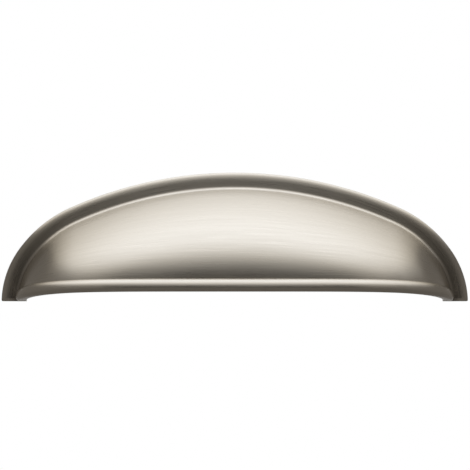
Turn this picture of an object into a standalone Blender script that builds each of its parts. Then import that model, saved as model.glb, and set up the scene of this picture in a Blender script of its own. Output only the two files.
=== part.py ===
"""Cup pull: a drawer handle die-cast in one piece from zinc alloy, nickel plated.

Metres, +Z up. X runs along the pull and the cup's front faces -Y. The back of the
flange lies in the plane Y = 0, against the drawer front, with the drawer at +Y. The
origin is on that plane, midway between the two screw holes.

Heights in the functions below are measured from the feet of the flange, and depths
from the drawer front. place() turns both into the part's frame.
"""

import math

import bmesh
import bpy
from mathutils import Vector

# Overall sizes
LENGTH = 0.127
HEIGHT = 0.035
PROJECTION = 0.025

# The arch that the flange follows: a top arc, a shoulder arc and an end arc, tangent to
# each other. The angles are those at which one arc hands over to the next, measured
# from the top. The top arc's radius follows from the length and the height.
SHOULDER_RADIUS = 0.0347
END_RADIUS = 0.0252
TOP_ARC_ANGLE = math.radians(24)
SHOULDER_ARC_ANGLE = math.radians(54)

# The flange. Its width runs to where its face and the cup would meet without the crease
# fillet.
FLANGE_WIDTH = 0.0044
FLANGE_THICKNESS = 0.0024
EDGE_ROUND_WIDTH = 0.0021
EDGE_ROUND_DEPTH = 0.00075

# The cup. Its front stands upright at CUP_SPRING above the feet and rolls back to the
# flange from there along part of an ellipse, which starts CUP_START past the top of that
# ellipse. The two powers shape the cup's plan: a long flat front, full corners and ends
# that meet the flange square.
WALL = 0.0024
CUP_SPRING = 0.0080
CUP_START = math.radians(50)
PLAN_LENGTH_POWER = 5.0
PLAN_DEPTH_POWER = 1.76
CREASE_RADIUS = 0.00115

# The lip and the bead that stiffens it: its whole height, how far it stands proud of the
# cup, and at what share of its height it does so most. The bead runs out into the flange.
# It keeps nearly all its height until the cup above the lip is only BEAD_RUNOUT
# half-heights high, and thins from there.
LIP_LIFT = 0.0031
BEAD_HEIGHT = 0.0035
BEAD_PROUD = 0.0017
BEAD_CROWN = 0.39
BEAD_RUNOUT = 2.5

# The two posts that take the screws from behind the drawer front
HOLE_SPACING = 0.096
HOLE_HEIGHT = 0.0105
POST_DIAMETER = 0.0078
SCREW_BORE = 0.0034
SCREW_DEPTH = 0.011
MOUTH_CHAMFER = 0.0005
DRILL_POINT_DEPTH = 0.001

# Material: satin nickel over zinc
NICKEL_COLOUR = (0.57, 0.53, 0.46, 1.0)
NICKEL_ROUGHNESS = 0.3
NICKEL_METALLIC = 1.0

# How finely the curves are cut
STATIONS = 26
EDGE_STEPS = 5
CREASE_STEPS = 3
SECTION_STEPS = 12
BEAD_STEPS = 8
ROUND_SEGMENTS = 32
SHARP_ANGLE = math.radians(35)

# How far a cutter reaches past what it cuts
CUT_MARGIN = 0.003
MERGE_DISTANCE = 1e-6


def arch_arcs():
    """The three arcs as (centre x, centre height, radius, angle where it ends)."""
    top_sine, top_cosine = math.sin(TOP_ARC_ANGLE), math.cos(TOP_ARC_ANGLE)
    end_sine, end_cosine = math.sin(SHOULDER_ARC_ANGLE), math.cos(SHOULDER_ARC_ANGLE)
    # The end arc's centre lies this far from the foot across, and this high, less what
    # the top radius adds to both
    step = SHOULDER_RADIUS - END_RADIUS
    across = LENGTH / 2 + SHOULDER_RADIUS * top_sine - step * end_sine
    rise = HEIGHT - SHOULDER_RADIUS * top_cosine + step * end_cosine
    # The top radius that brings the end arc upright at half the length. Where the arc
    # would pass under the feet first, the radius that makes it end at the foot itself.
    top_radius = (across - END_RADIUS) / top_sine
    if rise < top_radius * (1 - top_cosine):
        square = top_sine ** 2 + (1 - top_cosine) ** 2
        half = across * top_sine + rise * (1 - top_cosine)
        rest = across ** 2 + rise ** 2 - END_RADIUS ** 2
        top_radius = (half - math.sqrt(half ** 2 - square * rest)) / square
    end_centre = (LENGTH / 2 - across + top_radius * top_sine, rise - top_radius * (1 - top_cosine))
    shoulder_centre = (end_centre[0] - step * end_sine, end_centre[1] - step * end_cosine)
    return (
        (0.0, HEIGHT - top_radius, top_radius, TOP_ARC_ANGLE),
        (*shoulder_centre, SHOULDER_RADIUS, SHOULDER_ARC_ANGLE),
        (*end_centre, END_RADIUS, math.pi),
    )


ARCS = arch_arcs()

# The fillet in the crease turns from the flange's face to the slope of the cup at the
# top of the arch. It takes up the stretch of the arch between these two insets and rises
# this far in front of the face.
CUP_DEPTH = PROJECTION - BEAD_PROUD - FLANGE_THICKNESS
CUP_SLOPE = CUP_DEPTH / (HEIGHT - FLANGE_WIDTH - CUP_SPRING) * (1 + 1 / math.sin(CUP_START))
CREASE_ANGLE = math.atan(CUP_SLOPE)
CREASE_START = FLANGE_WIDTH - CREASE_RADIUS * math.tan(CREASE_ANGLE / 2)
CREASE_END = CREASE_START + CREASE_RADIUS * math.sin(CREASE_ANGLE)
CREASE_RISE = CREASE_RADIUS * (1 - math.cos(CREASE_ANGLE))


def arch_point(fraction, inset):
    """Point (x, height) on the arch moved inward by inset.

    fraction runs from -1 at the left foot over 0 at the top to 1 at the right foot. An
    end arc that stands upright above the feet goes on as a straight leg.
    """
    end_height, end_radius = ARCS[-1][1:3]
    leg = max(0.0, end_height)
    knee = 1 - leg / HEIGHT
    last_turn = math.acos(max(0.0, -end_height) / (end_radius - inset))
    turn = last_turn * min(1.0, abs(fraction) / knee)
    centre_x, centre_height, radius, _ = next(arc for arc in ARCS if turn <= arc[3])
    x = centre_x + (radius - inset) * math.sin(turn)
    height = centre_height + (radius - inset) * math.cos(turn)
    if abs(fraction) > knee:
        height = HEIGHT * (1 - abs(fraction))
    return math.copysign(x, fraction), height


def arch_height(x, inset):
    """Height of the arch moved inward by inset, at x."""
    for centre_x, centre_height, radius, angle in ARCS:
        moved = radius - inset
        if abs(x) <= centre_x + moved * math.sin(angle):
            break
    return centre_height + math.sqrt(max(0.0, moved ** 2 - (abs(x) - centre_x) ** 2))


def place(x, depth, height):
    """A point of the part's frame from x, depth before the drawer and height."""
    return Vector((x, -depth, height - HOLE_HEIGHT))


def plan_depth(x, half_length, depth):
    """Depth of the cup's plan at x: a superellipse with a power for each direction."""
    share = min(1.0, abs(x) / half_length)
    return depth * (1 - share ** PLAN_LENGTH_POWER) ** (1 / PLAN_DEPTH_POWER)


def plan_normal(x, half_length, depth):
    """Unit vector (x, depth) square to the cup's plan at x, pointing outward."""
    share = min(1.0, abs(x) / half_length)
    across = share ** (PLAN_LENGTH_POWER - 1) * PLAN_LENGTH_POWER / half_length
    along = (1 - share ** PLAN_LENGTH_POWER) ** (1 - 1 / PLAN_DEPTH_POWER)
    along *= PLAN_DEPTH_POWER / depth
    length = math.hypot(across, along)
    return math.copysign(across / length, x), along / length


def spring_height(crest_height, inset):
    """Height where the cup's wall stands upright, below a crest of that height."""
    return CUP_SPRING * (crest_height / arch_point(0, inset)[1]) ** 2


def section_turn(crest_height, spring, height):
    """How far round its ellipse a section of the cup has come at a height, and its radius."""
    radius = (crest_height - spring) / math.cos(CUP_START)
    if height > crest_height - MERGE_DISTANCE:
        return CUP_START, radius
    return math.acos(max(-1.0, (height - spring) / radius)), radius


def section_depth(turn, reach, start):
    """Depth of a section that starts that far before the flange's face."""
    grown = (math.sin(turn) - math.sin(CUP_START)) / (1 - math.sin(CUP_START))
    return FLANGE_THICKNESS + start + (reach - start) * grown


def cup_section(crest_height, reach, spring, start, end_height):
    """The cup's section as (depth, height) points.

    It runs from the crest, at the depth start in front of the flange's face, down to
    end_height. It stands upright at the height spring, reach in front of the face.
    """
    last, radius = section_turn(crest_height, spring, end_height)
    points = []
    for step in range(SECTION_STEPS + 1):
        turn = CUP_START + (last - CUP_START) * step / SECTION_STEPS
        points.append((section_depth(turn, reach, start), spring + radius * math.cos(turn)))
    return points


def middle_depth(x, height):
    """Depth of the middle of the cup's wall, or of the flange where the cup has ended."""
    inset = FLANGE_WIDTH + WALL / 2
    crest_height = arch_height(x, inset)
    if height >= crest_height:
        return FLANGE_THICKNESS / 2
    reach = plan_depth(x, arch_point(1, inset)[0], CUP_DEPTH - WALL / 2)
    turn, _ = section_turn(crest_height, spring_height(crest_height, inset), height)
    return section_depth(turn, reach, 0.0)


def shell_loop(fraction):
    """One closed section of the flange and the cup's wall, as points of the frame."""
    loop = []
    # The flange: up its side, over the rounded edge and across its face
    x, height = arch_point(fraction, 0)
    loop.append(place(x, 0, height))
    for step in range(EDGE_STEPS + 1):
        angle = math.pi / 2 * step / EDGE_STEPS
        inset = EDGE_ROUND_WIDTH * (1 - math.cos(angle))
        rise = EDGE_ROUND_DEPTH * (math.sin(angle) - 1)
        x, height = arch_point(fraction, inset)
        loop.append(place(x, FLANGE_THICKNESS + rise, height))
    # The hollow crease where the cup leaves the flange
    for step in range(CREASE_STEPS):
        angle = CREASE_ANGLE * step / CREASE_STEPS
        rise = CREASE_RADIUS * (1 - math.cos(angle))
        x, height = arch_point(fraction, CREASE_START + CREASE_RADIUS * math.sin(angle))
        loop.append(place(x, FLANGE_THICKNESS + rise, height))
    # The cup, down to the top of the bead, which thins where the cup runs low
    half_length = arch_point(1, CREASE_END)[0]
    crest_x, crest_height = arch_point(fraction, CREASE_END)
    plan = plan_depth(crest_x, half_length, CUP_DEPTH)
    reach = max(CREASE_RISE, plan)
    lip = min(crest_height, LIP_LIFT * plan / CUP_DEPTH)
    if plan < CREASE_RISE:
        # The cup has ended here, inside the fillet, and only the flange goes on down
        lip = crest_height
    room = crest_height - lip
    bead = BEAD_HEIGHT / 2
    bead *= room / math.hypot(room, BEAD_RUNOUT * bead)
    spring = spring_height(crest_height, CREASE_END)
    section = cup_section(crest_height, reach, spring, CREASE_RISE, lip + 2 * bead)
    loop += [place(crest_x, depth, height) for depth, height in section]
    # The bead, from where it stands out of the cup to the bottom of the lip
    across, along = plan_normal(crest_x, half_length, CUP_DEPTH)
    front = FLANGE_THICKNESS + reach
    for step in range(BEAD_STEPS + 1):
        angle = math.pi * step / BEAD_STEPS
        out = bead * BEAD_PROUD / (BEAD_HEIGHT / 2) * math.sin(angle)
        side = 1 - BEAD_CROWN if math.cos(angle) > 0 else BEAD_CROWN
        height = lip + 2 * bead * (BEAD_CROWN + side * math.cos(angle))
        root = section[-1][0] + (front - section[-1][0]) * step / BEAD_STEPS
        loop.append(place(crest_x + out * across, root + out * along, height))
    # The bottom of the lip, level across the wall, and the wall's inside up to the back
    inset = FLANGE_WIDTH + WALL
    inner_x, inner_height = arch_point(fraction, inset)
    inner_reach = plan_depth(inner_x, arch_point(1, inset)[0], CUP_DEPTH - WALL)
    spring = spring_height(inner_height, inset)
    section = cup_section(inner_height, inner_reach, spring, 0.0, lip)
    loop += [place(inner_x, depth, height) for depth, height in reversed(section)]
    loop.append(place(inner_x, 0, inner_height))
    return loop


def swept_shell(name):
    """Skin the sections along the arch and close the two feet."""
    mesh = bmesh.new()
    loops = []
    for station in range(-STATIONS, STATIONS + 1):
        loops.append([mesh.verts.new(point) for point in shell_loop(station / STATIONS)])
    for near, far in zip(loops, loops[1:]):
        for index in range(len(near)):
            following = (index + 1) % len(near)
            mesh.faces.new((near[index], near[following], far[following], far[index]))
    mesh.faces.new(loops[0])
    mesh.faces.new(reversed(loops[-1]))
    return finish_mesh(name, mesh)


def post(name, x):
    """A round post from the drawer front into the middle of the cup's wall."""
    mesh = bmesh.new()
    back, front = [], []
    for step in range(ROUND_SEGMENTS):
        angle = math.tau * step / ROUND_SEGMENTS
        point_x = x + POST_DIAMETER / 2 * math.cos(angle)
        height = HOLE_HEIGHT + POST_DIAMETER / 2 * math.sin(angle)
        back.append(mesh.verts.new(place(point_x, 0, height)))
        front.append(mesh.verts.new(place(point_x, middle_depth(point_x, height), height)))
    tip = mesh.verts.new(place(x, middle_depth(x, HOLE_HEIGHT), HOLE_HEIGHT))
    mesh.faces.new(back)
    for index in range(ROUND_SEGMENTS):
        following = (index + 1) % ROUND_SEGMENTS
        mesh.faces.new((back[index], back[following], front[following], front[index]))
        mesh.faces.new((front[index], front[following], tip))
    return finish_mesh(name, mesh)


def turned_solid(name, x, profile):
    """A solid turned about an axis along Y through x, from (radius, depth) points."""
    mesh = bmesh.new()
    verts = [mesh.verts.new((x + radius, -depth, 0)) for radius, depth in profile]
    edges = [mesh.edges.new(pair) for pair in zip(verts, verts[1:])]
    bmesh.ops.spin(
        mesh,
        geom=verts + edges,
        cent=(x, 0, 0),
        axis=(0, 1, 0),
        angle=math.tau,
        steps=ROUND_SEGMENTS,
        use_merge=True,
    )
    return finish_mesh(name, mesh)


def finish_mesh(name, mesh):
    """Weld a closed mesh, turn its faces outward and link it as an object."""
    bmesh.ops.remove_doubles(mesh, verts=mesh.verts, dist=MERGE_DISTANCE)
    bmesh.ops.dissolve_degenerate(mesh, edges=mesh.edges, dist=MERGE_DISTANCE)
    bmesh.ops.recalc_face_normals(mesh, faces=mesh.faces)
    data = bpy.data.meshes.new(name)
    mesh.to_mesh(data)
    mesh.free()
    solid = bpy.data.objects.new(name, data)
    bpy.context.scene.collection.objects.link(solid)
    return solid


def combine(target, operation, tool):
    """Join the tool's shape to the target or cut it out, and keep the tool as a guide."""
    boolean = target.modifiers.new(operation.lower() + " " + tool.name, "BOOLEAN")
    boolean.operation = operation
    boolean.solver = "EXACT"
    boolean.object = tool
    tool.hide_render = True
    tool.display_type = "WIRE"


def satin_nickel():
    """Nickel plate brushed to a satin finish."""
    material = bpy.data.materials.new("satin_nickel_plate")
    material.use_nodes = True
    shader = material.node_tree.nodes["Principled BSDF"]
    shader.inputs["Base Color"].default_value = NICKEL_COLOUR
    shader.inputs["Metallic"].default_value = NICKEL_METALLIC
    shader.inputs["Roughness"].default_value = NICKEL_ROUGHNESS
    return material


def build():
    """The cup pull: the shell, with a post at each screw hole and the bores cut last."""
    for old in list(bpy.data.objects):
        bpy.data.objects.remove(old, do_unlink=True)
    pull = swept_shell("cup_pull_body")
    sides = (("left", -HOLE_SPACING / 2), ("right", HOLE_SPACING / 2))
    for side, x in sides:
        combine(pull, "UNION", post(side + "_post_guide", x))
    bore = SCREW_BORE / 2
    bore_profile = (
        (0.0, -CUT_MARGIN),
        (bore + MOUTH_CHAMFER + CUT_MARGIN, -CUT_MARGIN),
        (bore, MOUTH_CHAMFER),
        (bore, SCREW_DEPTH - DRILL_POINT_DEPTH),
        (0.0, SCREW_DEPTH),
    )
    for side, x in sides:
        combine(pull, "DIFFERENCE", turned_solid(side + "_bore_cutter", x, bore_profile))
    pull.data.materials.append(satin_nickel())
    pull.data.shade_smooth()
    pull.data.set_sharp_from_angle(angle=SHARP_ANGLE)


build()
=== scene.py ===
# %% [markdown]
# # A brushed nickel cup pull
#
# A cup pull is a drawer handle: a flat rim lies on the drawer front and a half-dome
# stands out of it, open below, so that the fingers go in from underneath. This one is a
# single zinc casting, nickel plated and brushed lengthwise. The lesson models it the way
# a moulding is drawn: a small profile is spun along the arch of the rim, and the dome is
# pulled out of the rim's inner edge row by row.
#
# Units are metres. X runs along the pull, the dome faces -Y, Z is up, and the drawer
# front is the plane Y = 0.

# %% Load the frame
import math

import bmesh
import bpy
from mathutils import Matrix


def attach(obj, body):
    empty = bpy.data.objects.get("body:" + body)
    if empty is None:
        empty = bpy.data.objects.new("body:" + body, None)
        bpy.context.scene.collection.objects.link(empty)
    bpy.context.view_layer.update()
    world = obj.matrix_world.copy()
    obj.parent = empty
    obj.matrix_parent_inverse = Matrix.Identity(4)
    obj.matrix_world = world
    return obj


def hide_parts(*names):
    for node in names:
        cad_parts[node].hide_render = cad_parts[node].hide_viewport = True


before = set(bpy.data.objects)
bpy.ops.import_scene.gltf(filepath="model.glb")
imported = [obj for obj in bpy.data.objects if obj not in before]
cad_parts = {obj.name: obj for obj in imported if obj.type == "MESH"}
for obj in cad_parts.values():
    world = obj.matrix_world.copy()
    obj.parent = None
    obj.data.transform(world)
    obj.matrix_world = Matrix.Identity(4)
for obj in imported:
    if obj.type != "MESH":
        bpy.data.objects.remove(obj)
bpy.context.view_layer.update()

# %% [markdown]
# ## Sizes
#
# Every size is the one that the casting itself is built to, so that the dressed model
# lies on its solid. The rim follows three arcs that touch: a long one over the top, a
# tighter shoulder, and the end that comes down to the foot. The radius of the top arc
# isn't chosen. It is the one that lets the end arc land on the foot.

# %% Name the sizes and solve the arch
LENGTH = 0.127
HEIGHT = 0.035
PROJECTION = 0.025
SHOULDER_RADIUS = 0.0347
END_RADIUS = 0.0252
TOP_ANGLE = math.radians(24)
SHOULDER_ANGLE = math.radians(54)
RIM_WIDTH = 0.0044
RIM_THICKNESS = 0.0024
WALL = 0.0024
CUP_SPRING = 0.0080
START_TURN = math.radians(50)
BEAD_PROUD = 0.0017
CUP_DEPTH = PROJECTION - BEAD_PROUD - RIM_THICKNESS
HOLE_HEIGHT = 0.0105
FEET = -HOLE_HEIGHT


def solve_arch():
    """The three arcs as (centre x, centre z, radius, angle where it ends)."""
    step = SHOULDER_RADIUS - END_RADIUS
    sine, cosine = math.sin(TOP_ANGLE), math.cos(TOP_ANGLE)
    across = LENGTH / 2 + SHOULDER_RADIUS * sine - step * math.sin(SHOULDER_ANGLE)
    rise = HEIGHT - SHOULDER_RADIUS * cosine + step * math.cos(SHOULDER_ANGLE)
    square = sine ** 2 + (1 - cosine) ** 2
    half = across * sine + rise * (1 - cosine)
    rest = across ** 2 + rise ** 2 - END_RADIUS ** 2
    top_radius = (half - math.sqrt(half ** 2 - square * rest)) / square
    end_x = LENGTH / 2 - across + top_radius * sine
    end_z = FEET + rise - top_radius * (1 - cosine)
    shoulder_x = end_x - step * math.sin(SHOULDER_ANGLE)
    shoulder_z = end_z - step * math.cos(SHOULDER_ANGLE)
    return (
        (0.0, FEET + HEIGHT - top_radius, top_radius, TOP_ANGLE),
        (shoulder_x, shoulder_z, SHOULDER_RADIUS, SHOULDER_ANGLE),
        (end_x, end_z, END_RADIUS, math.pi),
    )


ARCS = solve_arch()
print("top radius", round(ARCS[0][2], 4), "end centre", [round(value, 5) for value in ARCS[2][:2]])

# %% [markdown]
# ## Small helpers for edit mode
#
# Drawing a shape row by row means doing three things again and again: extrude the
# selected edge, move the new edge to where it belongs, go on. One helper does that. It
# also counts how far each row lies across the surface, in a vertex attribute, because
# the brushing will later follow the rows. A second attribute keeps the place along the
# arch.

# %% Helpers that select, extrude and place
ALONG = "along_arch"
ACROSS = "across_rows"
SEED_SIZE = 0.001


def deselect_all():
    """Nothing selected, in object mode: an operator acts on all that is selected."""
    if bpy.context.object and bpy.context.object.mode != "OBJECT":
        bpy.ops.object.mode_set(mode="OBJECT")
    bpy.ops.object.select_all(action="DESELECT")


def start_point(name, place):
    """A new mesh of one vertex, made from a plane, and left in edit mode."""
    deselect_all()
    bpy.ops.mesh.primitive_plane_add(size=SEED_SIZE, location=(0, 0, 0))
    piece = bpy.context.object
    piece.name = piece.data.name = name
    bpy.ops.object.mode_set(mode="EDIT")
    bpy.ops.mesh.select_mode(type="VERT")
    bpy.ops.mesh.merge(type="CENTER")
    bpy.ops.transform.translate(value=place)
    return piece


def edit_mesh(piece):
    """The mesh in edit mode with its two attributes."""
    mesh = bmesh.from_edit_mesh(piece.data)
    layers = mesh.verts.layers.float
    along = layers.get(ALONG) or layers.new(ALONG)
    across = layers.get(ACROSS) or layers.new(ACROSS)
    return mesh, along, across


def select_vertices(piece, wanted):
    """Select exactly the vertices that the test wants, with the edges between them."""
    mesh, _, _ = edit_mesh(piece)
    for element in (*mesh.verts, *mesh.edges, *mesh.faces):
        element.select = False
    count = 0
    for vertex in mesh.verts:
        if wanted(vertex):
            vertex.select = True
            count += 1
    mesh.select_flush(True)
    bmesh.update_edit_mesh(piece.data)
    return count


def extrude_row(piece, place, sign=1):
    """Extrude the selected edge and put each new vertex where place(vertex) says."""
    bpy.ops.mesh.extrude_region_move()
    mesh, along, across = edit_mesh(piece)
    row = [vertex for vertex in mesh.verts if vertex.select]
    middle = min(row, key=lambda vertex: abs(vertex[along]))
    before = middle.co.copy()
    for vertex in row:
        vertex.co = place(vertex[along])
    step = (middle.co - before).length
    for vertex in row:
        vertex[across] += sign * step
    bmesh.update_edit_mesh(piece.data)


print("each vertex keeps", ALONG, "and", ACROSS)

# %% [markdown]
# ## The rim as a spun moulding
#
# The rim has the same cross-section all the way round: a flat back, a side, a softly
# rounded front edge, a flat face and the small hollow where the dome begins. It could be
# a bevelled curve, but a curve bevel can't end square on the feet. Here the section is
# drawn point by point above the middle of the pull and spun through the three arcs,
# about the centre of each. Because all its points share those centres, every line of
# the rim stays parallel to its outline.

# %% Draw the section of the rim
EDGE_ROUND_WIDTH = 0.0021
EDGE_ROUND_DEPTH = 0.00075
BACK_BREAK = 0.0003
CREASE_RADIUS = 0.00115
START_SINE = math.sin(START_TURN)
STEEPNESS = CUP_DEPTH / (HEIGHT - RIM_WIDTH - CUP_SPRING)
DOME_ANGLE = math.atan(STEEPNESS * (1 + 1 / START_SINE))
CREASE_START = RIM_WIDTH - CREASE_RADIUS * math.tan(DOME_ANGLE / 2)
CREASE_END = CREASE_START + CREASE_RADIUS * math.sin(DOME_ANGLE)
CREASE_RISE = CREASE_RADIUS * (1 - math.cos(DOME_ANGLE))
BACK_BREAK_STEPS = 3
EDGE_STEPS = 12
CREASE_STEPS = 8
MERGE_DISTANCE = 1e-6


def rim_section():
    """Points (inset, depth), from the inside of the wall round the back to the crease."""
    points = [(RIM_WIDTH + WALL, RIM_THICKNESS), (RIM_WIDTH + WALL, BACK_BREAK)]
    points += [(RIM_WIDTH + WALL - BACK_BREAK, 0.0), (BACK_BREAK, 0.0)]
    for step in range(BACK_BREAK_STEPS + 1):
        angle = math.pi / 2 * step / BACK_BREAK_STEPS
        points.append((BACK_BREAK * (1 - math.sin(angle)), BACK_BREAK * (1 - math.cos(angle))))
    for step in range(EDGE_STEPS + 1):
        angle = math.pi / 2 * step / EDGE_STEPS
        inset = EDGE_ROUND_WIDTH * (1 - math.cos(angle))
        points.append((inset, RIM_THICKNESS - EDGE_ROUND_DEPTH * (1 - math.sin(angle))))
    flat = CREASE_START - EDGE_ROUND_WIDTH
    points += [(EDGE_ROUND_WIDTH + flat * share, RIM_THICKNESS) for share in (1 / 3, 2 / 3)]
    for step in range(CREASE_STEPS + 1):
        angle = DOME_ANGLE * step / CREASE_STEPS
        inset = CREASE_START + CREASE_RADIUS * math.sin(angle)
        points.append((inset, RIM_THICKNESS + CREASE_RADIUS * (1 - math.cos(angle))))
    distinct = [points[0]]
    for point in points[1:]:
        if math.dist(point, distinct[-1]) > MERGE_DISTANCE:
            distinct.append(point)
    return distinct


top = FEET + HEIGHT
section = [(0.0, -depth, top - inset) for inset, depth in rim_section()]
pull = start_point("cup_pull", section[0])
lengths = [0.0]
for last, place in zip(section, section[1:]):
    step = [new - old for new, old in zip(place, last)]
    bpy.ops.mesh.extrude_region_move(TRANSFORM_OT_translate={"value": step})
    lengths.append(lengths[-1] + math.dist(place, last))
print("rim section:", len(section), "points,", round(lengths[-1] * 1000, 2), "mm round")

# %% Spin it through the three arcs and trim the feet
STATION_SPACING = 0.0006
FOOT_ALLOWANCE = math.radians(4)
FOOT_ROUND = 0.0009
FOOT_STEPS = 6
CUT_TOLERANCE = 1e-7
# The fourth point of the section is where the flat back ends.
BACK_CORNER = 3

mesh, along, across = edit_mesh(pull)
back_corner = lengths[BACK_CORNER]
for vertex in mesh.verts:
    nearest = min(range(len(section)), key=lambda index: math.dist(vertex.co, section[index]))
    vertex[across] = lengths[nearest] - back_corner
    vertex.select = True
mesh.select_flush(True)
bmesh.update_edit_mesh(pull.data)

foot_turn = math.pi / 2 + FOOT_ALLOWANCE
turned = 0.0
for centre_x, centre_z, radius, ends_at in ARCS:
    ends_at = min(ends_at, foot_turn)
    angle = ends_at - turned
    bpy.ops.mesh.spin(
        steps=round(radius * angle / STATION_SPACING),
        angle=angle,
        center=(centre_x, 0, centre_z),
        axis=(0, -1, 0),
    )
    turned = ends_at
bpy.ops.mesh.select_all(action="SELECT")
bpy.ops.mesh.remove_doubles(threshold=MERGE_DISTANCE)
bpy.ops.mesh.select_all(action="SELECT")
bpy.ops.mesh.bisect(
    plane_co=(0, 0, FEET), plane_no=(0, 0, 1), clear_inner=True, threshold=CUT_TOLERANCE
)
for step in range(1, FOOT_STEPS + 1):
    height = FOOT_ROUND * (1 - math.cos(math.pi / 2 * step / FOOT_STEPS))
    bpy.ops.mesh.select_all(action="SELECT")
    bpy.ops.mesh.bisect(plane_co=(0, 0, FEET + height), plane_no=(0, 0, 1), threshold=CUT_TOLERANCE)
mesh, along, across = edit_mesh(pull)
print("rim:", len(mesh.verts), "vertices, reaches x =", round(max(v.co.x for v in mesh.verts), 5))

# %% [markdown]
# ## Where a row stands along the arch
#
# Every row of the dome is drawn from the same stations along the arch, so each vertex
# remembers how far along it lies, measured on the crease. The two functions here go from
# a point to that length and back again.

# %% Measure along the arch
def crease_length(x, z):
    """Length along the crease to where a point stands."""
    length, started = 0.0, 0.0
    for centre_x, centre_z, radius, ends_at in ARCS:
        turn = math.atan2(x - centre_x, z - centre_z)
        if turn <= ends_at:
            return length + (radius - RIM_WIDTH) * max(0.0, turn - started)
        length += (radius - RIM_WIDTH) * (ends_at - started)
        started = ends_at


def arch_point(length, inset):
    """Point (x, height above the feet) at that length, on the arch moved inward."""
    started = 0.0
    for centre_x, centre_z, radius, ends_at in ARCS:
        turn = started + length / (radius - RIM_WIDTH)
        if turn <= ends_at:
            break
        length -= (radius - RIM_WIDTH) * (ends_at - started)
        started = ends_at
    x = centre_x + (radius - inset) * math.sin(turn)
    return x, max(0.0, centre_z - FEET + (radius - inset) * math.cos(turn))


mesh, along, across = edit_mesh(pull)
for vertex in mesh.verts:
    vertex[along] = crease_length(vertex.co.x, vertex.co.z)
rim_length = max(vertex[along] for vertex in mesh.verts)
print("half the crease is", round(rim_length * 1000, 1), "mm long")

# %% [markdown]
# ## The dome
#
# Seen from above, the dome is a long flat front with full corners and ends that meet the
# rim square: a superellipse. Seen from the side, every slice is part of an ellipse. It
# leaves the rim steeply, in the direction where the crease's hollow ends, and rolls over
# until it stands upright, low down at the front. A scaled sphere would have pointed ends
# and the same slope all round, so the dome is drawn from the crease instead: extrude the
# edge, set it on the next line of those ellipses, and repeat down to the lip.

# %% Describe the dome's plan and slices
PLAN_LENGTH_POWER = 5.0
PLAN_DEPTH_POWER = 1.76
LIP_LIFT = 0.0031
BEAD_HALF = 0.00175
BEAD_CROWN = 0.39
BEAD_RUNOUT = 2.5
LEAST_RADIUS = 1e-7


def half_length(inset):
    """Where the arch, moved inward, meets the feet."""
    centre_x, centre_z, radius, _ = ARCS[-1]
    return centre_x + math.sqrt((radius - inset) ** 2 - (centre_z - FEET) ** 2)


def plan_reach(x, inset, depth):
    """How far the plan stands in front of the rim's face at x."""
    share = min(1.0, x / half_length(inset))
    return depth * (1 - share ** PLAN_LENGTH_POWER) ** (1 / PLAN_DEPTH_POWER)


def plan_normal(x):
    """Unit vector (x, depth) square to the dome's plan at x."""
    share = min(1.0, x / half_length(CREASE_END))
    sideways = share ** (PLAN_LENGTH_POWER - 1) * PLAN_LENGTH_POWER / half_length(CREASE_END)
    forward = (1 - share ** PLAN_LENGTH_POWER) ** (1 - 1 / PLAN_DEPTH_POWER)
    forward *= PLAN_DEPTH_POWER / CUP_DEPTH
    size = math.hypot(sideways, forward)
    return sideways / size, forward / size


def lip_height(length):
    """Height of the lip's bottom. It rises with the dome's reach."""
    x, height = arch_point(length, CREASE_END)
    return min(height, LIP_LIFT * plan_reach(x, CREASE_END, CUP_DEPTH) / CUP_DEPTH)


def bead_size(length):
    """Half the bead's height, which thins only where the dome runs out into the foot."""
    room = arch_point(length, CREASE_END)[1] - lip_height(length)
    return BEAD_HALF * room / math.hypot(room, BEAD_RUNOUT * BEAD_HALF)


def slice_turn(crest, inset, height):
    """Turn of a slice's ellipse at a height, with its spring and its upright radius."""
    spring = CUP_SPRING * (crest / (HEIGHT - inset)) ** 2
    radius = max(crest - spring, LEAST_RADIUS) / math.cos(START_TURN)
    turn = math.acos(max(-1.0, min(1.0, (height - spring) / radius)))
    return max(START_TURN, turn), spring, radius


def slice_depth(turn, reach, start):
    """Depth of a slice that starts that far in front of the rim's face."""
    grown = (math.sin(turn) - START_SINE) / (1 - START_SINE)
    return RIM_THICKNESS + start + (reach - start) * grown


def slice_point(length, inset, depth, start, stop, share):
    """Point (x, depth, height) on a slice, a share of the way from the crease to stop."""
    x, crest = arch_point(length, inset)
    reach = max(start, plan_reach(x, inset, depth))
    last, spring, radius = slice_turn(crest, inset, stop)
    turn = START_TURN + (last - START_TURN) * share
    return x, slice_depth(turn, reach, start), spring + radius * math.cos(turn)


print("plan: half length", round(half_length(CREASE_END), 5), "depth", round(CUP_DEPTH, 4))

# %% Draw the dome down to the bead
CUP_STEPS = 44
ROW_TOLERANCE = 1e-5


def seat(x, depth, height):
    """From x, depth before the drawer and height above the feet to the scene."""
    return x, -depth, FEET + height


crease = lengths[-1] - back_corner
select_vertices(pull, lambda vertex: abs(vertex[across] - crease) < ROW_TOLERANCE)
for step in range(1, CUP_STEPS + 1):
    def cup_row(length):
        stop = lip_height(length) + 2 * bead_size(length)
        share = step / CUP_STEPS
        return seat(*slice_point(length, CREASE_END, CUP_DEPTH, CREASE_RISE, stop, share))
    extrude_row(pull, cup_row)
mesh, along, across = edit_mesh(pull)
dome_end = max(vertex[across] for vertex in mesh.verts)
print("dome drawn:", len(mesh.faces), "faces,", round(dome_end * 1000, 1), "mm across")

# %% [markdown]
# ## The bead
#
# A rounded bead runs along the lip. It stiffens the casting and is kind to the fingers. It
# is fullest a little below its middle, so its upper side slopes more and catches more of
# the light. A bead can be a bevelled curve pushed against the dome, but then there are
# two shells that cross. Here the same edge goes on, out and round two quarter ellipses
# that stand square to the plan, so it turns the dome's corners with it and thins at the
# feet.

# %% Draw the bead
BEAD_STEPS = 16

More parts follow.
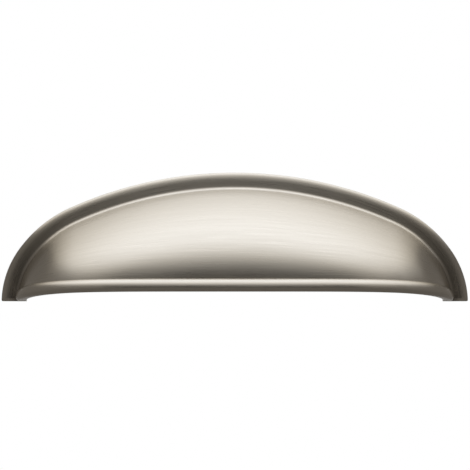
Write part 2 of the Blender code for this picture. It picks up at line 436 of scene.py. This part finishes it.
for step in range(1, BEAD_STEPS + 1):
    def bead_row(length):
        x, height = arch_point(length, CREASE_END)
        bead, lip = bead_size(length), lip_height(length)
        sideways, forward = plan_normal(x)
        root = slice_point(length, CREASE_END, CUP_DEPTH, CREASE_RISE, lip + 2 * bead, 1)[1]
        front = RIM_THICKNESS + max(CREASE_RISE, plan_reach(x, CREASE_END, CUP_DEPTH))
        angle = math.pi * step / BEAD_STEPS
        out = bead * BEAD_PROUD / BEAD_HALF * math.sin(angle)
        root += (front - root) * step / BEAD_STEPS
        side = 1 - BEAD_CROWN if math.cos(angle) > 0 else BEAD_CROWN
        rise = 2 * bead * (BEAD_CROWN + side * math.cos(angle))
        return seat(x + out * sideways, root + out * forward, lip + rise)
    extrude_row(pull, bead_row)
mesh, along, across = edit_mesh(pull)
bead_end = max(vertex[across] for vertex in mesh.verts)
print("bead drawn, front of the lip at y =", round(min(v.co.y for v in mesh.verts), 5))

# %% [markdown]
# ## The inside
#
# A die casting keeps one wall thickness, so the inside is a second dome, smaller by the
# wall. Solidify would give that wall too, but it folds at the tight ends. The inner edge
# of the rim's section was spun with the rest, so the inside is drawn from it in the same
# way, down to a small rounding at the lip. A bridge then joins both edges of the lip.

# %% Draw the inside and bridge the lip
INNER_STEPS = 30
LIP_BREAK = 0.0004
LIP_BREAK_STEPS = 4
INNER = RIM_WIDTH + WALL
INNER_DEPTH = CUP_DEPTH - WALL


def lip_break(length):
    """Radius of the rounding inside the lip."""
    return min(LIP_BREAK, bead_size(length) / 2)


select_vertices(pull, lambda vertex: abs(vertex[across] + back_corner) < ROW_TOLERANCE)
for step in range(1, INNER_STEPS + 1):
    def inner_row(length):
        stop = lip_height(length) + lip_break(length)
        return seat(*slice_point(length, INNER, INNER_DEPTH, 0.0, stop, step / INNER_STEPS))
    extrude_row(pull, inner_row, sign=-1)
for step in range(LIP_BREAK_STEPS + 1):
    def lip_row(length):
        stop = lip_height(length) + lip_break(length)
        x, depth, height = slice_point(length, INNER, INNER_DEPTH, 0.0, stop, 1)
        lip = min(height, lip_height(length))
        size = min(lip_break(length), height - lip)
        sideways, forward = plan_normal(arch_point(length, CREASE_END)[0])
        angle = math.pi / 2 * step / LIP_BREAK_STEPS
        out = size * (1 - math.cos(angle))
        return seat(x + out * sideways, depth + out * forward, lip + size * (1 - math.sin(angle)))
    extrude_row(pull, lip_row, sign=-1)
mesh, along, across = edit_mesh(pull)
lip_end = min(vertex[across] for vertex in mesh.verts)

def at_either_end(vertex):
    """Whether a vertex is on the first or the last row, the two edges of the open lip."""
    return min(vertex[across] - lip_end, bead_end - vertex[across]) < MERGE_DISTANCE


select_vertices(pull, at_either_end)
bpy.ops.mesh.bridge_edge_loops()
bpy.ops.mesh.select_all(action="SELECT")
bpy.ops.mesh.remove_doubles(threshold=MERGE_DISTANCE)
print("inside drawn and bridged:", len(edit_mesh(pull)[0].faces), "faces")

# %% [markdown]
# ## Closing the feet
#
# The feet are cut flat, and the belt rolls over their front edge, while the tumbling that
# a casting gets before it is plated takes the sharp edge off the side. A bevel would be
# held back by the thin rows here, so the rows that were cut close to the foot are moved
# along two small arcs instead. Then the open edge is filled with one face.

# %% Round the feet and fill them
FOOT_BREAK = 0.0003


def rolled(radius, height):
    """How far an edge rounded to that radius has drawn back at a height above the feet."""
    return radius - math.sqrt(radius ** 2 - max(0.0, radius - height) ** 2)


mesh, along, across = edit_mesh(pull)
end_x, end_z, end_radius, _ = ARCS[-1]
for vertex in mesh.verts:
    height = vertex.co.z - FEET
    outside = math.hypot(vertex.co.x - end_x, vertex.co.z - end_z) > end_radius - FOOT_BREAK
    if -vertex.co.y > RIM_THICKNESS / 2:
        vertex.co.y += rolled(FOOT_ROUND, height)
    if outside:
        vertex.co.x -= rolled(FOOT_BREAK, height)
for element in (*mesh.verts, *mesh.edges, *mesh.faces):
    element.select = False
bpy.ops.mesh.select_mode(type="EDGE")
for edge in mesh.edges:
    edge.select = edge.is_boundary and all(v.co.z < FEET + MERGE_DISTANCE for v in edge.verts)
bmesh.update_edit_mesh(pull.data)
bpy.ops.mesh.edge_face_add()
mesh, along, across = edit_mesh(pull)
foot = [face for face in mesh.faces if face.select]
print("foot face:", len(foot), "of", sum(len(face.verts) for face in foot), "corners")

# %% [markdown]
# ## The other half
#
# The pull is the same on both sides, so only the right half was drawn. A Mirror modifier
# adds the left one. Its merge distance is set far below the default millimetre, which
# would weld the thin rows at the feet.

# %% Mirror and turn the faces outward
deselect_all()
pull.select_set(True)
bpy.context.view_layer.objects.active = pull
mirror = pull.modifiers.new("left half", "MIRROR")
mirror.merge_threshold = MERGE_DISTANCE
bpy.ops.object.modifier_apply(modifier=mirror.name)
bpy.ops.object.mode_set(mode="EDIT")
bpy.ops.mesh.select_all(action="SELECT")
bpy.ops.mesh.dissolve_degenerate(threshold=2 * MERGE_DISTANCE)
bpy.ops.mesh.normals_make_consistent(inside=False)
bpy.ops.mesh.select_mode(type="FACE")
mesh, along, across = edit_mesh(pull)
for face in mesh.faces:
    face.select = len(face.verts) > 4
bmesh.update_edit_mesh(pull.data)
bpy.ops.mesh.quads_convert_to_tris()
bpy.ops.mesh.select_mode(type="VERT")


def open_edges(piece):
    """Edges that don't have exactly two faces, and the volume in cubic centimetres."""
    mesh, _, _ = edit_mesh(piece)
    loose = sum(1 for edge in mesh.edges if len(edge.link_faces) != 2)
    return loose, mesh.calc_volume() * 1e6


print("open edges and volume:", open_edges(pull))

# %% [markdown]
# ## A map for the brushing
#
# The belt that brushed this pull ran along it, so its marks follow the rows: along the
# arch on the rim, and level across the middle of the dome. A pattern on object
# coordinates would run straight through the curve. The two attributes give the map
# instead: U is the length along the arch and V the length across the rows, both as a
# share of the pull's length, so that the map isn't stretched.

# %% Build the map and part the brushed faces from the cast ones
BRUSHED, CAST = 0, 1

mesh, along, across = edit_mesh(pull)
brush_map = mesh.loops.layers.uv.new("brush_map")
for face in mesh.faces:
    side = 1 if face.calc_center_median().x > 0 else -1
    rows = [vertex[across] for vertex in face.verts]
    for loop in face.loops:
        u = 0.5 + side * loop.vert[along] / LENGTH
        loop[brush_map].uv = (u, loop.vert[across] / LENGTH)
    # The bridge at the lip joins the first row to the last, so its rows lie far apart.
    bridged = max(rows) - min(rows) > PROJECTION
    face.material_index = CAST if bridged or max(rows) < MERGE_DISTANCE else BRUSHED
    face.smooth = True
bmesh.update_edit_mesh(pull.data)
brushed_faces = sum(face.material_index == BRUSHED for face in mesh.faces)
print("brushed faces:", brushed_faces, "of", len(mesh.faces))

# %% [markdown]
# ## Posts and tapped holes
#
# Two screws come through the drawer front and pull the casting tight on two round posts.
# Each post grows out of the dome's inside. A cylinder would do, but its flat end would
# have to stick out of the curved dome or stop short of it. So a circle is extruded ring
# by ring, its last ring is laid in the middle of the dome's wall, and a Boolean joins
# it. The hole is a second tube, its rings pushed in and out along a helix, so that the
# cut leaves a real thread.

# %% Draw one post
HOLE_SPACING = 0.096
POST_RADIUS = 0.0039
POST_SIDES = 48


def middle_of_wall(x, height):
    """Depth of the middle of the dome's wall at a point."""
    inset, depth = INNER - WALL / 2, INNER_DEPTH + WALL / 2
    x = abs(x)
    for centre_x, centre_z, radius, ends_at in ARCS:
        if x <= centre_x + (radius - inset) * math.sin(ends_at):
            break
    squared = (radius - inset) ** 2 - (x - centre_x) ** 2
    crest = centre_z - FEET + math.sqrt(max(0.0, squared))
    turn, _, _ = slice_turn(crest, inset, height)
    return slice_depth(turn, plan_reach(x, inset, depth), 0.0)


def ring_tube(name, x, rings, tip, sides):
    """A closed tube along Y. Each ring gives (radius, depth) for an angle."""
    deselect_all()
    bpy.ops.mesh.primitive_circle_add(
        vertices=sides, radius=SEED_SIZE, fill_type="NGON",
        location=(x, 0, 0), rotation=(math.pi / 2, 0, 0),
    )
    tube = bpy.context.object
    tube.name = tube.data.name = name
    bpy.ops.object.transform_apply(location=True, rotation=True, scale=False)
    bpy.ops.object.mode_set(mode="EDIT")
    bpy.ops.mesh.select_all(action="SELECT")
    for number, ring in enumerate(rings):
        if number:
            bpy.ops.mesh.extrude_region_move()
        mesh = bmesh.from_edit_mesh(tube.data)
        for vertex in mesh.verts:
            if vertex.select:
                angle = math.atan2(vertex.co.z, vertex.co.x - x)
                radius, depth = ring(angle)
                vertex.co = (x + radius * math.cos(angle), -depth, radius * math.sin(angle))
        bmesh.update_edit_mesh(tube.data)
    bpy.ops.mesh.poke()
    mesh = bmesh.from_edit_mesh(tube.data)
    centre = min((v for v in mesh.verts if v.select), key=lambda v: (v.co.x - x) ** 2 + v.co.z ** 2)
    centre.co = (x, -tip, 0)
    bmesh.update_edit_mesh(tube.data)
    bpy.ops.mesh.select_all(action="SELECT")
    bpy.ops.mesh.normals_make_consistent(inside=False)
    deselect_all()
    return tube


def post(x):
    """A post with a broken edge at the back, whose front lies inside the dome's wall."""
    def at_wall(angle):
        height = HOLE_HEIGHT + POST_RADIUS * math.sin(angle)
        return POST_RADIUS, middle_of_wall(x + POST_RADIUS * math.cos(angle), height)

    rings = [
        lambda angle: (POST_RADIUS - BACK_BREAK, 0.0),
        lambda angle: (POST_RADIUS, BACK_BREAK),
        at_wall,
    ]
    return ring_tube("post", x, rings, middle_of_wall(x, HOLE_HEIGHT), POST_SIDES)


posts = [post(x) for x in (-HOLE_SPACING / 2, HOLE_SPACING / 2)]
print("posts:", [len(tube.data.vertices) for tube in posts], "vertices each")

# %% Join the posts and cut the threads
THREAD_PITCH = 0.0007
THREAD_CORE = 0.00165
THREAD_DEPTH = 0.00035
THREAD_SIDES = 32
THREAD_RINGS_PER_TURN = 8
THREAD_RUNOUT = 0.0015
SCREW_DEPTH = 0.011
MOUTH_CHAMFER = 0.0006
DRILL_POINT = 0.0009


def thread_ring(depth):
    """One ring of the tapped hole: its radius swings with the turn of the helix."""
    def ring(angle):
        phase = (depth / THREAD_PITCH - angle / math.tau) % 1.0
        crest = abs(2 * phase - 1)
        mouth = max(0.0, MOUTH_CHAMFER - depth)
        runout = min(1.0, max(0.0, (SCREW_DEPTH - THREAD_RUNOUT - depth) / THREAD_PITCH))
        return max(THREAD_CORE + THREAD_DEPTH * crest * runout, THREAD_CORE + mouth), depth
    return ring


def boolean(target, operation, tool):
    """Apply a Boolean and delete its tool."""
    deselect_all()
    target.select_set(True)
    bpy.context.view_layer.objects.active = target
    change = target.modifiers.new(operation.lower(), "BOOLEAN")
    change.operation = operation
    change.solver = "EXACT"
    change.object = tool
    bpy.ops.object.modifier_apply(modifier=change.name)
    bpy.data.objects.remove(tool, do_unlink=True)


for tube in posts:
    boolean(pull, "UNION", tube)
ring_count = round(SCREW_DEPTH / THREAD_PITCH * THREAD_RINGS_PER_TURN)
depths = [SCREW_DEPTH * (step / ring_count) for step in range(ring_count + 1)]
for x in (-HOLE_SPACING / 2, HOLE_SPACING / 2):
    rings = [lambda angle: (THREAD_CORE + 2 * MOUTH_CHAMFER, -MOUTH_CHAMFER)]
    rings += [thread_ring(depth) for depth in depths]
    tip = SCREW_DEPTH + DRILL_POINT
    boolean(pull, "DIFFERENCE", ring_tube("thread_cutter", x, rings, tip, THREAD_SIDES))
bpy.ops.object.mode_set(mode="EDIT")
print("after the Booleans, open edges and volume:", open_edges(pull))
deselect_all()

# %% [markdown]
# ## Satin nickel plate
#
# Nickel is a warm grey metal. Plated on a zinc casting and rubbed with an abrasive belt,
# it keeps its mirror reflection only along the marks and smears it across them. That is
# what makes the long soft bands over the dome. Brushing can be painted as lines, but
# lines alone look printed. Here fine noise, stretched along the map, gives shallow
# grooves and small changes in roughness, and the shader's anisotropy does the smearing.
# Real belt marks are 0.02 to 0.1 mm wide. They are drawn about 0.25 mm wide, because
# narrower ones vanish at this size of picture. Broader bands between two close tones lie
# under them.

# %% One function for nodes and one for colours
def linear(hex_colour):
    """An sRGB hex value as linear RGBA."""
    channels = [int(hex_colour[index:index + 2], 16) / 255 for index in (0, 2, 4)]
    return (*[c / 12.92 if c <= 0.04045 else ((c + 0.055) / 1.055) ** 2.4 for c in channels], 1.0)


def add(tree, kind, settings=None, values=None, links=None):
    """Add a node with its settings, its socket values and its incoming links."""
    node = tree.nodes.new(kind)
    for name, value in (settings or {}).items():
        setattr(node, name, value)
    for name, value in (values or {}).items():
        node.inputs[name].default_value = value
    for name, source in (links or {}).items():
        tree.links.new(source, node.inputs[name])
    return node


def empty_material(name):
    """A material with nothing in it but its output."""
    material = bpy.data.materials.new(name)
    material.use_nodes = True
    tree = material.node_tree
    tree.nodes.clear()
    return material, tree, add(tree, "ShaderNodeOutputMaterial")


print("mid grey is", [round(channel, 3) for channel in linear("808080")])

# %% Stretch noise along the map
NICKEL = "CCC5B9"
NICKEL_DARK = "C2BBAF"
MARK_LENGTH = 0.016
MARK_WIDTH = 0.00025
MARK_DETAIL, MARK_FALLOFF = 3.0, 0.6
BAND_LENGTH = 0.035
BAND_WIDTH = 0.0009
BAND_DETAIL, BAND_FALLOFF = 2.0, 0.5

brushed, tree, output = empty_material("belt_brushed_nickel_plate")
brush_uv = add(tree, "ShaderNodeUVMap", {"uv_map": "brush_map"})


def streaks(length, width, detail, falloff):
    """Noise stretched to streaks of that length along the map and that width across it."""
    placed = add(
        tree, "ShaderNodeMapping", values={"Scale": (LENGTH / length, LENGTH / width, 1)},
        links={"Vector": brush_uv.outputs["UV"]},
    )
    return add(
        tree, "ShaderNodeTexNoise", values={"Scale": 1.0, "Detail": detail, "Roughness": falloff},
        links={"Vector": placed.outputs["Vector"]},
    )


marks = streaks(MARK_LENGTH, MARK_WIDTH, MARK_DETAIL, MARK_FALLOFF)
bands = streaks(BAND_LENGTH, BAND_WIDTH, BAND_DETAIL, BAND_FALLOFF)
tone = add(
    tree, "ShaderNodeMix", {"data_type": "RGBA"}, {"A": linear(NICKEL_DARK), "B": linear(NICKEL)},
    {"Factor": bands.outputs["Fac"]},
)
print("marks across the pull's height:", round(HEIGHT / MARK_WIDTH))

# %% [markdown]
# ## Painted shade in the hollow beside the feet
#
# Where the crease comes down to the feet, the rim and the dome face each other, and the
# hollow lies in shade. That shade is painted into the plate here as a darker tone. It could
# be painted by hand, but the two attributes already say how far a point lies across the
# rows and along the arch. A smooth step on each of them, multiplied, fades the painted
# shade in.

# %% Paint shade into the hollow beside the feet
# Painted shade: this darker nickel stands in for the shade that falls in the crease's hollow near
# the feet.
NICKEL_PAINTED_SHADE = "8C857B"
HOLLOW_WIDTH = 0.0026
HOLLOW_BEFORE_DOME = 0.00065
HOLLOW_FROM = 0.052

rows_at = add(tree, "ShaderNodeAttribute", {"attribute_name": ACROSS})
arch_at = add(tree, "ShaderNodeAttribute", {"attribute_name": ALONG})
off_crease = add(
    tree, "ShaderNodeMath", {"operation": "SUBTRACT"}, {1: crease - HOLLOW_BEFORE_DOME},
    {0: rows_at.outputs["Fac"]},
)
from_crease = add(
    tree, "ShaderNodeMath", {"operation": "ABSOLUTE"}, links={0: off_crease.outputs["Value"]}
)
in_hollow = add(
    tree, "ShaderNodeMapRange", {"interpolation_type": "SMOOTHSTEP"},
    {"From Min": 0.0, "From Max": HOLLOW_WIDTH, "To Min": 1.0, "To Max": 0.0},
    {"Value": from_crease.outputs["Value"]},
)
near_foot = add(
    tree, "ShaderNodeMapRange", {"interpolation_type": "SMOOTHSTEP"},
    {"From Min": HOLLOW_FROM, "From Max": rim_length}, {"Value": arch_at.outputs["Fac"]},
)
hollow_painted_shade = add(
    tree, "ShaderNodeMath", {"operation": "MULTIPLY"},
    links={0: in_hollow.outputs["Result"], 1: near_foot.outputs["Result"]},
)
# This mix paints the hollow's shade into the plate's colour, fading it in along the crease.
tone = add(
    tree, "ShaderNodeMix", {"data_type": "RGBA"}, {"B": linear(NICKEL_PAINTED_SHADE)},
    {"Factor": hollow_painted_shade.outputs["Value"], "A": tone.outputs["Result"]},
)
darkening = (rim_length - HOLLOW_FROM) * 1000
print("the hollow darkens over the last", round(darkening, 1), "mm of the crease")

# %% [markdown]
# ## The shader of the brushed plate
#
# Nickel is a metal, so its colour is the colour of its reflections. The marks change the
# roughness a little and tilt the surface as shallow grooves. Many more grooves could be
# modelled in the bump, but the smear of real brushing comes from scratches finer than a
# pixel, and anisotropy stands for those. It is turned a quarter from the map's U
# direction, so that a reflection smears across the marks and not along them.

# %% Put the brushed plate together
NOISE_LOW, NOISE_HIGH = 0.3, 0.7
BRUSHED_SMOOTH, BRUSHED_ROUGH = 0.26, 0.34
MARK_HEIGHT = 0.0000034
SMEAR = 0.85
QUARTER_TURN = 0.25

gloss = add(
    tree, "ShaderNodeMapRange",
    values={
        "From Min": NOISE_LOW, "From Max": NOISE_HIGH,
        "To Min": BRUSHED_SMOOTH, "To Max": BRUSHED_ROUGH,
    },
    links={"Value": marks.outputs["Fac"]},
)
grooves = add(
    tree, "ShaderNodeBump", values={"Strength": 1.0, "Distance": MARK_HEIGHT},
    links={"Height": marks.outputs["Fac"]},
)
along_marks = add(tree, "ShaderNodeTangent", {"direction_type": "UV_MAP", "uv_map": "brush_map"})
shader = add(
    tree, "ShaderNodeBsdfPrincipled",
    values={"Metallic": 1.0, "Anisotropic": SMEAR, "Anisotropic Rotation": QUARTER_TURN},
    links={
        "Base Color": tone.outputs["Result"],
        "Roughness": gloss.outputs["Result"],
        "Normal": grooves.outputs["Normal"],
        "Tangent": along_marks.outputs["Tangent"],
    },
)
tree.links.new(shader.outputs["BSDF"], output.inputs["Surface"])
print("brushed nickel:", len(tree.nodes), "nodes")

# %% [markdown]
# ## The cast inside
#
# The belt can't reach inside the dome or behind the rim. There the plate lies on the
# skin of the die casting: an even, slightly pebbled grey with a duller shine and no
# direction. It isn't brushed, so its pattern reads the object's own coordinates.

# %% Plate the casting's skin
CAST_NICKEL = "C2BCB1"
CAST_NICKEL_DARK = "B5AFA4"
SKIN_GRAIN = 0.0006
SKIN_HEIGHT = 0.000006
SKIN_DETAIL = 3.0
FLOW_SIZE = 0.012
FLOW_DETAIL = 2.0
CAST_SMOOTH, CAST_ROUGH = 0.38, 0.5

cast, tree, output = empty_material("nickel_plate_on_die_cast_skin")
place = add(tree, "ShaderNodeTexCoord")
grain = add(
    tree, "ShaderNodeTexNoise", values={"Scale": 1 / SKIN_GRAIN, "Detail": SKIN_DETAIL},
    links={"Vector": place.outputs["Object"]},
)
flow = add(
    tree, "ShaderNodeTexNoise", values={"Scale": 1 / FLOW_SIZE, "Detail": FLOW_DETAIL},
    links={"Vector": place.outputs["Object"]},
)
tone = add(
    tree, "ShaderNodeMix", {"data_type": "RGBA"},
    {"A": linear(CAST_NICKEL_DARK), "B": linear(CAST_NICKEL)}, {"Factor": flow.outputs["Fac"]},
)
gloss = add(
    tree, "ShaderNodeMapRange",
    values={
        "From Min": NOISE_LOW, "From Max": NOISE_HIGH,
        "To Min": CAST_SMOOTH, "To Max": CAST_ROUGH,
    },
    links={"Value": flow.outputs["Fac"]},
)
pebbles = add(
    tree, "ShaderNodeBump", values={"Strength": 1.0, "Distance": SKIN_HEIGHT},
    links={"Height": grain.outputs["Fac"]},
)
shader = add(
    tree, "ShaderNodeBsdfPrincipled", values={"Metallic": 1.0},
    links={
        "Base Color": tone.outputs["Result"],
        "Roughness": gloss.outputs["Result"],
        "Normal": pebbles.outputs["Normal"],
    },
)
tree.links.new(shader.outputs["BSDF"], output.inputs["Surface"])
print("cast skin:", len(tree.nodes), "nodes")

# %% [markdown]
# ## Finish the piece
#
# The two materials go into the slots that the faces already name. Shading is smooth
# except where the surface really turns: at the bead, the lip and the threads.

# %% Give the pull its materials and its place in the model
SHARP_FROM = math.radians(40)

pull.data.materials.clear()
pull.data.materials.append(brushed)
pull.data.materials.append(cast)
deselect_all()
pull.select_set(True)
bpy.context.view_layer.objects.active = pull
bpy.ops.object.shade_smooth_by_angle(angle=SHARP_FROM)
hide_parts("cup_pull_body")
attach(pull, "root")
print("pull:", len(pull.data.polygons), "faces, slots", [slot.name for slot in pull.material_slots])

# %% [markdown]
# ## The studio
#
# Metal shows its surroundings, so the room is the light. Hardware like this is shot in a
# darkened room, among cloths and boards that the lamps make bright. A picture of a studio
# could surround the scene, but its lights couldn't be moved one by one. So each cloth is
# a flat card that gives light and shows only in reflections. The walls are a sphere in a
# dim grey, a little darker towards the floor.

# %% Make things that show only in reflections
WHITE = "FFFFFF"


def emitting(name, colour, strength):
    """A material that gives off an even light."""
    material, tree, output = empty_material(name)
    light = add(tree, "ShaderNodeEmission", values={"Color": linear(colour), "Strength": strength})
    tree.links.new(light.outputs["Emission"], output.inputs["Surface"])
    return material


def only_reflected(thing):
    """Hide a thing from the camera, from matt surfaces and from shadows."""
    thing.visible_camera = False
    thing.visible_diffuse = False
    thing.visible_shadow = False


def card(name, first, last, material):
    """A flat card between two opposite corners, level or upright."""
    (left, front, low), (right, back, high) = first, last
    corners = [(left, front, low), (right, back, low), (right, back, high), (left, front, high)]
    if low == high:
        corners = [(left, front, low), (right, front, low), (right, back, low), (left, back, low)]
    deselect_all()
    bpy.ops.mesh.primitive_circle_add(vertices=len(corners), radius=1, fill_type="NGON")
    flat = bpy.context.object
    flat.name = flat.data.name = name
    for vertex, corner in zip(flat.data.vertices, corners):
        vertex.co = corner
    flat.data.materials.append(material)
    only_reflected(flat)
    return flat


# %% Paint the dark room
ROOM_RADIUS = 6.0
ROOM_SEGMENTS, ROOM_RINGS = 48, 24
WALL_GREY = "7A7774"
GLOOM = 0.85
GLOOM_FROM, GLOOM_TO = -3.5, 0.5

deselect_all()
bpy.ops.mesh.primitive_uv_sphere_add(
    segments=ROOM_SEGMENTS, ring_count=ROOM_RINGS, radius=ROOM_RADIUS
)
room = bpy.context.object
room.name = room.data.name = "dark_room"
wall_paint, tree, output = empty_material("dim_grey_wall")
place = add(tree, "ShaderNodeTexCoord")
split = add(tree, "ShaderNodeSeparateXYZ", links={"Vector": place.outputs["Object"]})
gloom = add(
    tree, "ShaderNodeMapRange",
    values={"From Min": GLOOM_FROM, "From Max": GLOOM_TO, "To Min": GLOOM, "To Max": 1.0},
    links={"Value": split.outputs["Z"]},
)
glow = add(
    tree, "ShaderNodeEmission", values={"Color": linear(WALL_GREY)},
    links={"Strength": gloom.outputs["Result"]},
)
tree.links.new(glow.outputs["Emission"], output.inputs["Surface"])
room.data.materials.append(wall_paint)
only_reflected(room)
print("room:", 2 * ROOM_RADIUS, "m across")

# %% [markdown]
# ## The scrim
#
# A wide cloth hangs overhead and reaches forward. The lamp above it is a little in front
# of the pull, so the cloth is brightest there, fades outward and turns warmer towards its
# edges. One even card would light the dome as brightly, but flat. It is the fading that
# gives the dome its slow roll from white to grey.

# %% Hang the scrim
SCRIM_HEIGHT = 1.0
SCRIM_HALF = 1.08
SCRIM_FRONT, SCRIM_BACK = -2.4, 1.9
SCRIM_MIDDLE, SCRIM_EDGE = 2.05, 0.2
LAMP_Y = -0.245
LAMP_REACH = 2.08
LAMP_WHITE = "F1F6FF"
LAMP_WARM = "FFF7E6"

cloth, tree, output = empty_material("scrim_cloth")
place = add(tree, "ShaderNodeTexCoord")
from_lamp = add(
    tree, "ShaderNodeVectorMath", {"operation": "DISTANCE"}, {1: (0, LAMP_Y, SCRIM_HEIGHT)},
    {0: place.outputs["Object"]},
)
outward = add(
    tree, "ShaderNodeMapRange", {"interpolation_type": "SMOOTHSTEP"}, {"From Max": LAMP_REACH},
    {"Value": from_lamp.outputs["Value"]},
)
fading = add(
    tree, "ShaderNodeMapRange", values={"To Min": SCRIM_MIDDLE, "To Max": SCRIM_EDGE},
    links={"Value": outward.outputs["Result"]},
)
warming = add(
    tree, "ShaderNodeMix", {"data_type": "RGBA"}, {"A": linear(LAMP_WHITE), "B": linear(LAMP_WARM)},
    {"Factor": outward.outputs["Result"]},
)
glow = add(
    tree, "ShaderNodeEmission",
    links={"Color": warming.outputs["Result"], "Strength": fading.outputs["Result"]},
)
tree.links.new(glow.outputs["Emission"], output.inputs["Surface"])
scrim = card(
    "scrim", (-SCRIM_HALF, SCRIM_FRONT, SCRIM_HEIGHT), (SCRIM_HALF, SCRIM_BACK, SCRIM_HEIGHT), cloth
)
print("scrim:", [round(size, 2) for size in scrim.dimensions[:2]], "m")

# %% [markdown]
# ## The smaller cards
#
# A white ground stands behind the pull, a reflector at its right, and a small fill light
# above the lens. A black cloth round the lens keeps the rim's flat face dark, which is
# what draws its outline on a white ground.

# %% Set up the reflector, the ground, the fill light and the black cloth
REFLECTOR_X = 1.55
REFLECTOR_FRONT, REFLECTOR_BACK = -1.0, 0.6
REFLECTOR_LOW, REFLECTOR_HIGH = 1.0, 1.7
REFLECTOR_STRENGTH = 0.5
GROUND_BEHIND = 1.6
GROUND_HALF, GROUND_LOW, GROUND_HIGH = 1.1, -0.4, 0.6
GROUND_STRENGTH = 0.6
FILL_AHEAD = 1.6
FILL_HALF, FILL_LOW, FILL_HIGH = 0.22, 0.45, 0.8
FILL_STRENGTH = 0.45
FLAG_BEHIND_LENS = 0.9
FLAG_HALF, FLAG_TOP = 0.3, 0.22
FLAG_BLACK = "24221F"

cards = [
    card(
        "reflector",
        (REFLECTOR_X, REFLECTOR_FRONT, REFLECTOR_LOW), (REFLECTOR_X, REFLECTOR_BACK, REFLECTOR_HIGH),
        emitting("reflector_cloth", WHITE, REFLECTOR_STRENGTH),
    ),
    card(
        "white_ground",
        (-GROUND_HALF, GROUND_BEHIND, GROUND_LOW), (GROUND_HALF, GROUND_BEHIND, GROUND_HIGH),
        emitting("white_paper", WHITE, GROUND_STRENGTH),
    ),
    card(
        "fill_light",
        (-FILL_HALF, -FILL_AHEAD, FILL_LOW), (FILL_HALF, -FILL_AHEAD, FILL_HIGH),
        emitting("fill_cloth", WHITE, FILL_STRENGTH),
    ),
    card(
        "black_flag",
        (-FLAG_HALF, -FLAG_BEHIND_LENS, -FLAG_HALF), (FLAG_HALF, -FLAG_BEHIND_LENS, FLAG_TOP),
        emitting("black_cloth", FLAG_BLACK, 1.0),
    ),
]
print("cards:", [flat.name for flat in cards])

# %% [markdown]
# ## The floor and the world
#
# A pale floor lies below the pull, out of the picture and out of its reflections. The
# white world is the background, and it alone lights matt surfaces, at a strength where a
# colour looks as it is written.

# %% Lay the floor and set the world
FLOOR_SIZE = 1.6
FLOOR_DROP = 0.15
PALE_PAINT = "F2F1EE"

deselect_all()
bpy.ops.mesh.primitive_plane_add(size=FLOOR_SIZE, location=(0, 0, -FLOOR_DROP))
floor = bpy.context.object
floor.name = floor.data.name = "floor"
painted, tree, output = empty_material("matt_white_paint")
paint = add(tree, "ShaderNodeBsdfDiffuse", values={"Color": linear(PALE_PAINT)})
tree.links.new(paint.outputs["BSDF"], output.inputs["Surface"])
floor.data.materials.append(painted)
floor.visible_glossy = False

world = bpy.data.worlds.new("white_studio")
bpy.context.scene.world = world
world.use_nodes = True
background = world.node_tree.nodes["Background"]
background.inputs["Color"].default_value = linear(WHITE)
background.inputs["Strength"].default_value = 1.0
print("floor:", FLOOR_SIZE, "m wide, world:", world.name)

# %% [markdown]
# ## The camera
#
# The pull is seen straight on and level, from 0.7 m with a long lens, so its two ends
# look alike. The lens is worked out from the width that the picture covers.

# %% Set the camera
CAMERA_DISTANCE = 0.70
PICTURE_WIDTH = 0.12826
SENSOR_WIDTH = 36.0
AIM_X, AIM_HEIGHT = 0.00008, 0.01804

camera_data = bpy.data.cameras.new("camera")
camera = bpy.data.objects.new("camera", camera_data)
bpy.context.scene.collection.objects.link(camera)
camera_data.sensor_width = SENSOR_WIDTH
camera_data.lens = SENSOR_WIDTH * CAMERA_DISTANCE / PICTURE_WIDTH
camera.location = (AIM_X, -CAMERA_DISTANCE, FEET + AIM_HEIGHT)
camera.rotation_euler = (math.pi / 2, 0, 0)
bpy.context.scene.camera = camera
bpy.context.scene.view_settings.view_transform = "Standard"
print("lens", round(camera_data.lens, 1), "mm")
